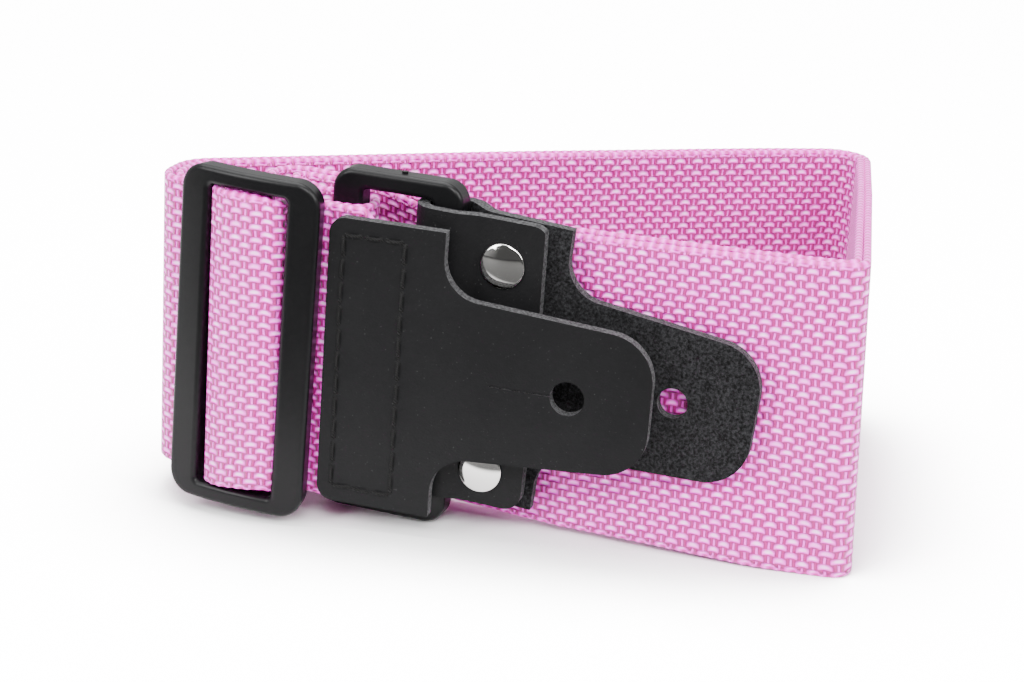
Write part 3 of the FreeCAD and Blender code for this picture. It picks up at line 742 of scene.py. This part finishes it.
def dome_profile(radius, rim, height, way):
    """Half profile from the flat face's edge to the crown, with a small rolled rim."""
    sag = height - rim
    sphere = (radius * radius + sag * sag) / (2 * sag)
    profile = [(radius - 0.05, 0.0), (radius, way * 0.08), (radius, way * (rim - 0.12))]
    profile += [(radius - 0.03, way * (rim - 0.04))]
    for index in range(15):
        r = (radius - 0.09) * (1 - index / 14)
        profile.append((r, way * (rim + math.sqrt(sphere * sphere - r * r) - (sphere - sag))))
    return profile


def make_rivet_cap(name, node, depth, height, way, material):
    """A domed cap on the rear tab; way is -1 for the front and 1 for the back."""
    around = 72
    profile = dome_profile(CAP_RADIUS, CAP_RIM, CAP_HEIGHT, way)
    points, faces = [], []
    for r, y in profile[:-1]:
        for j in range(around):
            angle = 2 * math.pi * j / around
            x, z = RIVET_X + r * math.cos(angle), height + r * math.sin(angle)
            points.append((x, depth + y, z))
    points.append((RIVET_X, depth + profile[-1][1], height))
    for k in range(len(profile) - 2):
        for j in range(around):
            following = (j + 1) % around
            this, next_one = k * around, (k + 1) * around
            quad = (this + j, this + following, next_one + following, next_one + j)
            faces.append(quad if way < 0 else quad[::-1])
    top = (len(profile) - 2) * around
    for j in range(around):
        triangle = (top + j, top + (j + 1) % around, len(points) - 1)
        faces.append(triangle if way < 0 else triangle[::-1])
    base = tuple(range(around))
    faces.append(base[::-1] if way < 0 else base)
    cap = new_object(name, to_row(plate_matrix("rear"), points), faces, material)
    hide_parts(node)
    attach(cap, "rear")


def make_rivets(material):
    for where, side in (("upper", 1), ("lower", -1)):
        height = side * RIVET_RISE - RIVET_DROP
        make_rivet_cap(where + "_front_cap", where + "_rivet_cap", 0.0, height, -1, material)
        back = 2 * LEATHER + 0.1  # the folded tab's two layers and a small gap
        make_rivet_cap(where + "_back_cap", where + "_rivet_stud", back, height, 1, material)


# ---------------------------------------------------------------- CAD pieces that stay


def dress(node, material, bevel=0.0):
    """Gives a CAD node its material and, where a bevel is given, softer edges."""
    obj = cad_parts[node]
    for slot in obj.material_slots:
        slot.material = material
    if not obj.material_slots:
        obj.data.materials.append(material)
    if bevel:
        weld = obj.modifiers.new("Weld", "WELD")
        weld.merge_threshold = 0.00001
        soften = obj.modifiers.new("Bevel", "BEVEL")
        soften.width = bevel * MM
        soften.segments = 3
        soften.limit_method = "ANGLE"
        soften.angle_limit = math.radians(35)
        soften.use_clamp_overlap = True
        even = obj.modifiers.new("Even", "WEIGHTED_NORMAL")
        even.weight = 100
        even.keep_sharp = True


# ---------------------------------------------------------------- studio


def make_floor():
    """A pale floor that looks white, with soft contact shadows where the strap meets it, mostly
    painted into its glow.

    Far in front it is dark in reflections, so that the black parts keep their depth.
    """
    shader = Shader("white_floor")
    rays = shader.add("ShaderNodeLightPath")
    far = shader.add("ShaderNodeSeparateXYZ")
    shader.links.new(shader.object_space(), far.inputs[0])
    far_front = shader.ramp(far.outputs["Y"], -0.055, -0.08)
    dim = shader.math("MULTIPLY", rays.outputs["Is Glossy Ray"], far_front)
    colour = shader.mix(dim, (0.87, 0.87, 0.87, 1), (0.02, 0.02, 0.02, 1))
    shader.set(Base_Color=colour, Roughness=0.8)
    # Painted shadow: the white glow that only the camera sees fades near the strap by ambient
    # occlusion.
    painted_shadow_occlusion = shader.add("ShaderNodeAmbientOcclusion", samples=16)
    painted_shadow_occlusion.inputs["Distance"].default_value = 0.035
    glow_with_painted_shadow = shader.ramp(painted_shadow_occlusion.outputs["AO"], 0.5, 1.0, 0.0, 12.0)
    glow_with_painted_shadow = shader.math("MULTIPLY", glow_with_painted_shadow, rays.outputs["Is Camera Ray"])
    material = shader.set(Emission_Color=(1, 1, 1, 1), Emission_Strength=glow_with_painted_shadow)
    reach = 6.0
    points = [(-reach, -reach, 0), (reach, -reach, 0), (reach, reach, 0), (-reach, reach, 0)]
    floor = new_object("floor", points, [(0, 1, 2, 3)], material)


def area_light(name, place, aim, wide, tall, power):
    """A white softbox; lengths in metres, power in watts."""
    data = bpy.data.lights.new(name, "AREA")
    data.shape = "RECTANGLE"
    data.size = wide
    data.size_y = tall
    data.energy = power
    light = bpy.data.objects.new(name, data)
    bpy.context.scene.collection.objects.link(light)
    light.location = place
    light.rotation_euler = (Vector(aim) - Vector(place)).to_track_quat("-Z", "Y").to_euler()


def make_studio():
    """A world that is bright at the back and dim in front, and four softboxes."""
    world = bpy.data.worlds.new("studio")
    bpy.context.scene.world = world
    world.use_nodes = True
    nodes, links = world.node_tree.nodes, world.node_tree.links
    split = nodes.new("ShaderNodeSeparateXYZ")
    links.new(nodes.new("ShaderNodeTexCoord").outputs["Generated"], split.inputs[0])
    ahead = nodes.new("ShaderNodeMapRange")
    for index, item in enumerate((0.0, -0.75, 0.25, 0.1, 1.25)):
        ahead.inputs[index].default_value = item
    links.new(split.outputs["Y"], ahead.inputs[0])
    seen = nodes.new("ShaderNodeMix")  # the camera itself sees white
    links.new(nodes.new("ShaderNodeLightPath").outputs["Is Camera Ray"], seen.inputs[0])
    links.new(ahead.outputs[0], seen.inputs[2])
    seen.inputs[3].default_value = 13.0
    links.new(seen.outputs[0], nodes["Background"].inputs["Strength"])
    nodes["Background"].inputs["Color"].default_value = (1, 1, 1, 1)
    area_light("top_softbox", (-0.1, 0.1, 0.9), (0, 0, 0), 0.9, 0.9, 20)
    area_light("right_softbox", (0.7, -0.55, 0.6), (0, 0, 0.02), 0.5, 0.6, 15)
    area_light("left_softbox", (-0.75, -0.5, 0.55), (0, 0, 0.03), 0.4, 0.6, 12)
    area_light("front_softbox", (0.05, -0.85, 0.8), (0, 0.02, 0.03), 0.6, 0.4, 16)


CAMERA_PLACE = (-53.418, -336.318, 149.106)  # from the strap frame's origin
CAMERA_LENS = 80.86
LOOKS_DOWN = 18.424  # degrees
CAMERA_ROLL = 1.053


def make_camera():
    data = bpy.data.cameras.new("camera")
    data.sensor_width = 36.0
    data.lens = CAMERA_LENS
    data.clip_start = 0.01
    camera = bpy.data.objects.new("camera", data)
    bpy.context.scene.collection.objects.link(camera)
    place = Vector(FRAME_OFFSET) + Vector(CAMERA_PLACE)
    pitch = turned("X", 90 - LOOKS_DOWN)
    camera.matrix_world = Matrix.Translation(place * MM) @ pitch @ turned("Z", CAMERA_ROLL)
    bpy.context.scene.camera = camera


# ---------------------------------------------------------------- build

make_webbing(webbing_material())
make_stitching()
make_rivets(metal_material("nickel"))
plastic = plastic_material("black_plastic")
dress("slider_frame", plastic)
dress("ring", plastic)
dress("front_tab", leather_material("front_leather", plate_matrix("front"), True), 0.22)
dress("rear_tab", leather_material("rear_leather", plate_matrix("rear"), False), 0.2)
make_floor()
make_studio()
make_camera()

bpy.context.view_layer.update()
